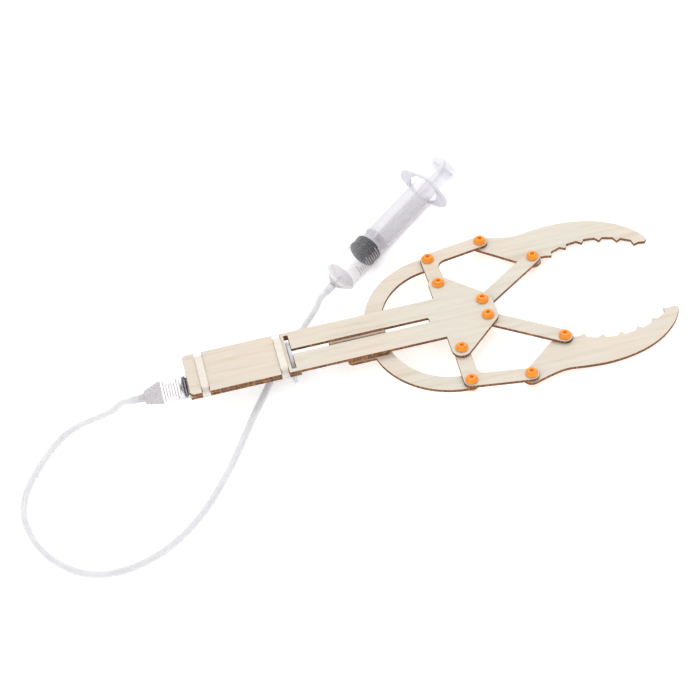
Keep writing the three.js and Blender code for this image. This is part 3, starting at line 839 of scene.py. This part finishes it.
def plunger(kind, size, place):
    """The rod: four ribs between two discs, a web near the front, and a stub that holds the gasket."""
    node = kind + "_plunger"
    front = size["gasket_at"] + GASKET_LENGTH + 0.3
    rear = size["disc_at"] - size["disc_thick"] + 0.3
    ribs = slab([cross_outline(size["rod"], RIB_HALF, 0.5)], front + 1.3, rear, 0.1)
    web_at = front + 8
    solid = along_x(whole(ribs)).joined(
        disc(size["inner"] - 1.1, front, front + 1.6),
        disc(size["inner"] - 1.3, web_at, web_at + 1.1, 0.3),
        disc(ROD_STUB, front - 4.5, front + 0.6, 0.5),
        thumb_disc(size),
    )
    settle(solid.piece(node + "_moulded", place, WHITE, crease=40), node)


def gasket(kind, size, place):
    """Black rubber with a blunt cone in front, two sealing ridges and a lower ring between them."""
    node = kind + "_gasket"
    at = size["gasket_at"]
    end = at + GASKET_LENGTH
    reach = size["inner"] - 0.25
    waist = reach - 1.2
    pocket = ROD_STUB + 0.3
    profile = [
        (0, at), (reach - 0.7, at + 2.2), (reach, at + 2.7), (reach, at + 3.9), (waist, at + 4.7),
        (waist, at + 6.1), (reach - 0.3, at + 6.6), (reach - 0.3, at + 7.2), (waist, at + 7.8),
        (waist, at + 8.5), (reach, at + 9.1), (reach, end), (pocket, end), (pocket, at + 5.6), (0, at + 5.6),
    ]
    solid = along_x(lathe(rounded(profile, 0.3), SYRINGE_SIDES))
    settle(solid.piece(node + "_moulded", place, RUBBER, crease=50), node)


CLAW_MARKS = {
    "start": 1.2, "end": 78, "pitch": 1.75, "half_line": 0.28,
    "facing": 132, "reach": 70, "long_reach": 110,
}
HAND_MARKS = {
    "start": 8, "end": 86, "pitch": 2.0, "half_line": 0.26,
    "facing": 142, "reach": 22, "long_reach": 40,
}
for kind, size, place, rings, marks in (
    ("claw", CLAW_SIZE, CLAW_SYRINGE, 5, CLAW_MARKS),
    ("hand", HAND_SIZE, HAND_SYRINGE, 0, HAND_MARKS),
):
    barrel(kind, size, place, rings, marks)
    plunger(kind, size, place)
    gasket(kind, size, place)

# ---- cable ties ---------------------------------------------------------------------------------
TIE_HALF = 12.9  # half the inner width of the loop
TIE_TOP = 0.3  # the gap between the strap and the top plate
TIE_BEND = 6.2  # the depth at which the strap turns in towards the barrel
TIE_THICKNESS = 1.2
TIE_WIDTH = 4.8
TIE_ARC_STEPS = 28
# The lock and the tail sit on the strap: y and rise place them from the syringe's axis, and lift is the
# height of the pawl and the ribs over them.
TIE_LOCK = {"size": (6.4, 5.4, 4.4), "y": 11.7, "rise": 1.6, "lean": -34}
TIE_PAWL = {"size": (3.4, 1.6, 1.2), "lift": 4.3}
TIE_TAIL = {"size": (4.2, 1.1, 5), "y": 12.9, "rise": -2.9, "lean": -8}
TIE_RIB = {"size": (3.2, 0.4, 0.35), "lift": 0.6, "first": -2, "pitch": 0.8, "count": 6}
AXIS_DEPTH = -(CLAW.inverted() @ CLAW_SYRINGE.translation).z / MM
BARREL_REACH = CLAW_SIZE["outer"] + 0.3


def tie_loop(extra):
    """The strap's inner face, or its outer face where extra is its thickness, as seen along the claw."""
    half = TIE_HALF + extra
    reach = BARREL_REACH + extra
    top = TIE_TOP + extra
    bend = -TIE_BEND + extra / 2
    shoulder = AXIS_DEPTH + bend
    lean = math.atan2(shoulder, half) - math.acos(reach / math.hypot(half, shoulder))
    corners = [(half, bend), (half, top), (-half, top), (-half, bend)]
    start, end = math.pi - lean, 2 * math.pi + lean
    angles = [start + (end - start) * i / TIE_ARC_STEPS for i in range(TIE_ARC_STEPS + 1)]
    bottom = [(reach * math.cos(angle), -AXIS_DEPTH + reach * math.sin(angle)) for angle in angles]
    return rounded(corners, 0.7 + extra) + bottom


def tie_place(x, part):
    """Where the lock or the tail of the tie at x sits, and how it leans."""
    lean = Matrix.Rotation(math.radians(part["lean"]), 4, "X")
    return Matrix.Translation((x, part["y"], part["rise"] - AXIS_DEPTH)) @ lean


def laid_over(solid, lift):
    """Swaps the solid's height and depth, and then lifts it off the strap."""
    return solid.moved(lambda point: Vector((point.x, point.z + lift, point.y)))


def tie_lock(x):
    """The ratchet's housing, with its pawl showing on top."""
    housing = laid_over(block(TIE_LOCK["size"], 0.9), TIE_LOCK["size"][2] / 2)
    pawl = laid_over(block(TIE_PAWL["size"], 0.3), TIE_PAWL["lift"])
    return housing.joined(pawl).moved(tie_place(x, TIE_LOCK))


def tie_tail(x):
    """The cut end of the strap, with ribs on its outer face."""
    tail = block(TIE_TAIL["size"], 0.3)
    for i in range(TIE_RIB["count"]):
        along = TIE_RIB["first"] + i * TIE_RIB["pitch"]
        place = Matrix.Translation((0, TIE_RIB["lift"], along))
        tail.joined(block(TIE_RIB["size"], 0.1).moved(place))
    return tail.moved(tie_place(x, TIE_TAIL))


def cable_tie(node):
    """A taut strap with a ratchet lock on its far side and a short ribbed tail."""
    low, high = local_box(node, CLAW)
    x = (low.x + high.x) / 2
    loops = [tie_loop(TIE_THICKNESS), tie_loop(0)[::-1]]
    strap = slab(loops, x - TIE_WIDTH / 2, x + TIE_WIDTH / 2, 0.25)
    solid = along_x(whole(strap)).joined(tie_lock(x), tie_tail(x))
    settle(solid.piece(node + "_strap", CLAW, NYLON, crease=40), node)


for end in ("rear", "front"):
    cable_tie("cable_tie_" + end)

# ---- the hose -----------------------------------------------------------------------------------
# The hose's section and its ends are in millimetres, and its length and route in metres.
HOSE_RADIUS = 2.3
HOSE_BORE = 1.5
SLEEVE = 5  # how far the hose's ends slip over the nozzles
SLEEVE_FLARE = 0.5  # how much wider they are there
FLARE_START = 3.5  # where the flare begins to fade, from the hose's end, and how long it takes
FLARE_FADE = 4.5
KIT_SHIFT = Vector((0.03514, -0.03996, 0.00003))
FLOOR_LINE = 0.00235  # the height of the hose's middle line on the floor
HOSE_ROUTE = [
    (-0.2274, -0.0015, 0.0148), (-0.2374, -0.0006, 0.0112), (-0.2476, 0.001, 0.0072),
    (-0.2576, 0.0012, 0.0038), (-0.2664, -0.0026, FLOOR_LINE), (-0.2764, -0.013, FLOOR_LINE),
    (-0.2868, -0.0266, FLOOR_LINE), (-0.2946, -0.0414, FLOOR_LINE), (-0.2976, -0.056, FLOOR_LINE),
    (-0.296, -0.0704, FLOOR_LINE), (-0.2906, -0.0864, FLOOR_LINE), (-0.2812, -0.101, FLOOR_LINE),
    (-0.2694, -0.112, FLOOR_LINE), (-0.2564, -0.1182, FLOOR_LINE), (-0.2426, -0.12, FLOOR_LINE),
    (-0.2286, -0.1182, FLOOR_LINE), (-0.215, -0.1134, FLOOR_LINE), (-0.2016, -0.1056, FLOOR_LINE),
    (-0.1876, -0.0938, FLOOR_LINE), (-0.1746, -0.0788, FLOOR_LINE), (-0.1626, -0.0624, FLOOR_LINE),
    (-0.1514, -0.0446, FLOOR_LINE), (-0.14, -0.026, FLOOR_LINE), (-0.1282, -0.008, FLOOR_LINE),
    (-0.1184, 0.0082, FLOOR_LINE), (-0.1056, 0.0238, FLOOR_LINE + 0.0002),
    (-0.0928, 0.0356, FLOOR_LINE + 0.0019), (-0.0824, 0.045, FLOOR_LINE + 0.0052),
]


def nozzle_point(place, size, beyond):
    """A point in line with a nozzle, the given millimetres past its tip."""
    return place @ (Vector((-size["cone"] - size["nozzle"] - beyond, 0, -size["drop"])) * MM)


def smooth_line(points, steps=8):
    """A centripetal Catmull-Rom curve through the points."""
    points = [Vector(point) for point in points]
    points = [points[0] * 2 - points[1], *points, points[-1] * 2 - points[-2]]
    made = []
    for i in range(len(points) - 3):
        p0, p1, p2, p3 = points[i : i + 4]
        t1 = math.sqrt((p1 - p0).length)
        t2 = t1 + math.sqrt((p2 - p1).length)
        t3 = t2 + math.sqrt((p3 - p2).length)
        for step in range(steps):
            t = t1 + (t2 - t1) * step / steps
            a1 = p0.lerp(p1, t / t1)
            a2 = p1.lerp(p2, (t - t1) / (t2 - t1))
            a3 = p2.lerp(p3, (t - t2) / (t3 - t2))
            b1 = a1.lerp(a2, t / t2)
            b2 = a2.lerp(a3, (t - t1) / (t3 - t1))
            made.append(b1.lerp(b2, (t - t1) / (t2 - t1)))
    return [*made, points[-2]]


def tube(line, radii, sides=24):
    """A hollow hose along a line in metres; radii gives the outer and inner radius at each point."""
    solid = Solid()
    outer, inner = [], []
    side = (line[1] - line[0]).orthogonal().normalized()
    for i, point in enumerate(line):
        along = (line[min(i + 1, len(line) - 1)] - line[max(i - 1, 0)]).normalized()
        side = (side - along * side.dot(along)).normalized()
        up = along.cross(side)
        turns = [2 * math.pi * k / sides for k in range(sides)]
        spokes = [side * math.cos(turn) + up * math.sin(turn) for turn in turns]
        outer.append(solid.ring(point / MM + spoke * radii[i][0] for spoke in spokes))
        inner.append(solid.ring(point / MM + spoke * radii[i][1] for spoke in spokes))
    rings = outer + inner[::-1]
    for lower, upper in zip(rings, rings[1:] + rings[:1]):
        solid.band(lower, upper)
    return solid


def sleeve_flare(from_end):
    """How much wider the hose is, where it slips over a nozzle."""
    share = min(1, max(0, 1 - (from_end - FLARE_START) / FLARE_FADE))
    return SLEEVE_FLARE * share * share * (3 - 2 * share)


def hose():
    """The hose from the claw's nozzle to the hand syringe's."""
    route = [nozzle_point(CLAW_SYRINGE, CLAW_SIZE, beyond) for beyond in (-SLEEVE, 0, 7)]
    route += [Vector(point) + KIT_SHIFT for point in HOSE_ROUTE]
    route += [nozzle_point(HAND_SYRINGE, HAND_SIZE, beyond) for beyond in (6, 0, -SLEEVE)]
    line = smooth_line(route)
    travelled = [0]
    for before, after in zip(line, line[1:]):
        travelled.append(travelled[-1] + (after - before).length / MM)
    flares = [sleeve_flare(min(at, travelled[-1] - at)) for at in travelled]
    radii = [(HOSE_RADIUS + flare, HOSE_BORE + 2 * flare) for flare in flares]
    piece = tube(line, radii).piece("hose_tube", Matrix.Identity(4), HOSE_SKIN)
    settle(piece, "hose")


hose()


# ---- the floor and the light --------------------------------------------------------------------
FLOOR_HALF = 4
FLOOR_DROP = 0.0002  # keeps the floor clear of what rests on it
FLOOR_COLOUR = (0.93, 0.93, 0.93, 1)
FLOOR_GLOW = 0.32  # a little light of its own, which softens the shadows
WHITE_LIGHT = (1, 1, 1, 1)


def make_floor():
    paint = Paint(
        "floor", FLOOR_COLOUR, 0.7, Emission_Color=WHITE_LIGHT, Emission_Strength=FLOOR_GLOW)
    paint.roughness(paint.spread(paint.noise((50, 50, 50), 2), 0.65, 0.75))
    mesh = bpy.data.meshes.new("floor")
    signs = [(-1, -1), (1, -1), (1, 1), (-1, 1)]
    mesh.from_pydata([(FLOOR_HALF * x, FLOOR_HALF * y, 0) for x, y in signs], [], [range(4)])
    mesh.materials.append(paint.material)
    floor = bpy.data.objects.new("floor", mesh)
    floor.location.z = -FLOOR_DROP
    bpy.context.scene.collection.objects.link(floor)


def make_light(name, place, size, power):
    data = bpy.data.lights.new(name, "AREA")
    data.size = size
    data.energy = power
    light = bpy.data.objects.new(name, data)
    light.location = place
    light.rotation_euler = (-Vector(place)).to_track_quat("-Z", "Y").to_euler()
    bpy.context.scene.collection.objects.link(light)


def make_sky(strength):
    """An even white light from all round."""
    world = bpy.data.worlds.new("studio")
    world.use_nodes = True
    background = world.node_tree.nodes["Background"]
    background.inputs["Color"].default_value = WHITE_LIGHT
    background.inputs["Strength"].default_value = strength
    bpy.context.scene.world = world


make_floor()
make_sky(1.0)
make_light("key_light", place=(0.5, 0.8, 1.4), size=0.8, power=7)
make_light("fill_light", place=(-0.9, -0.8, 1.3), size=1.4, power=4)
bpy.context.scene.view_settings.view_transform = "Standard"
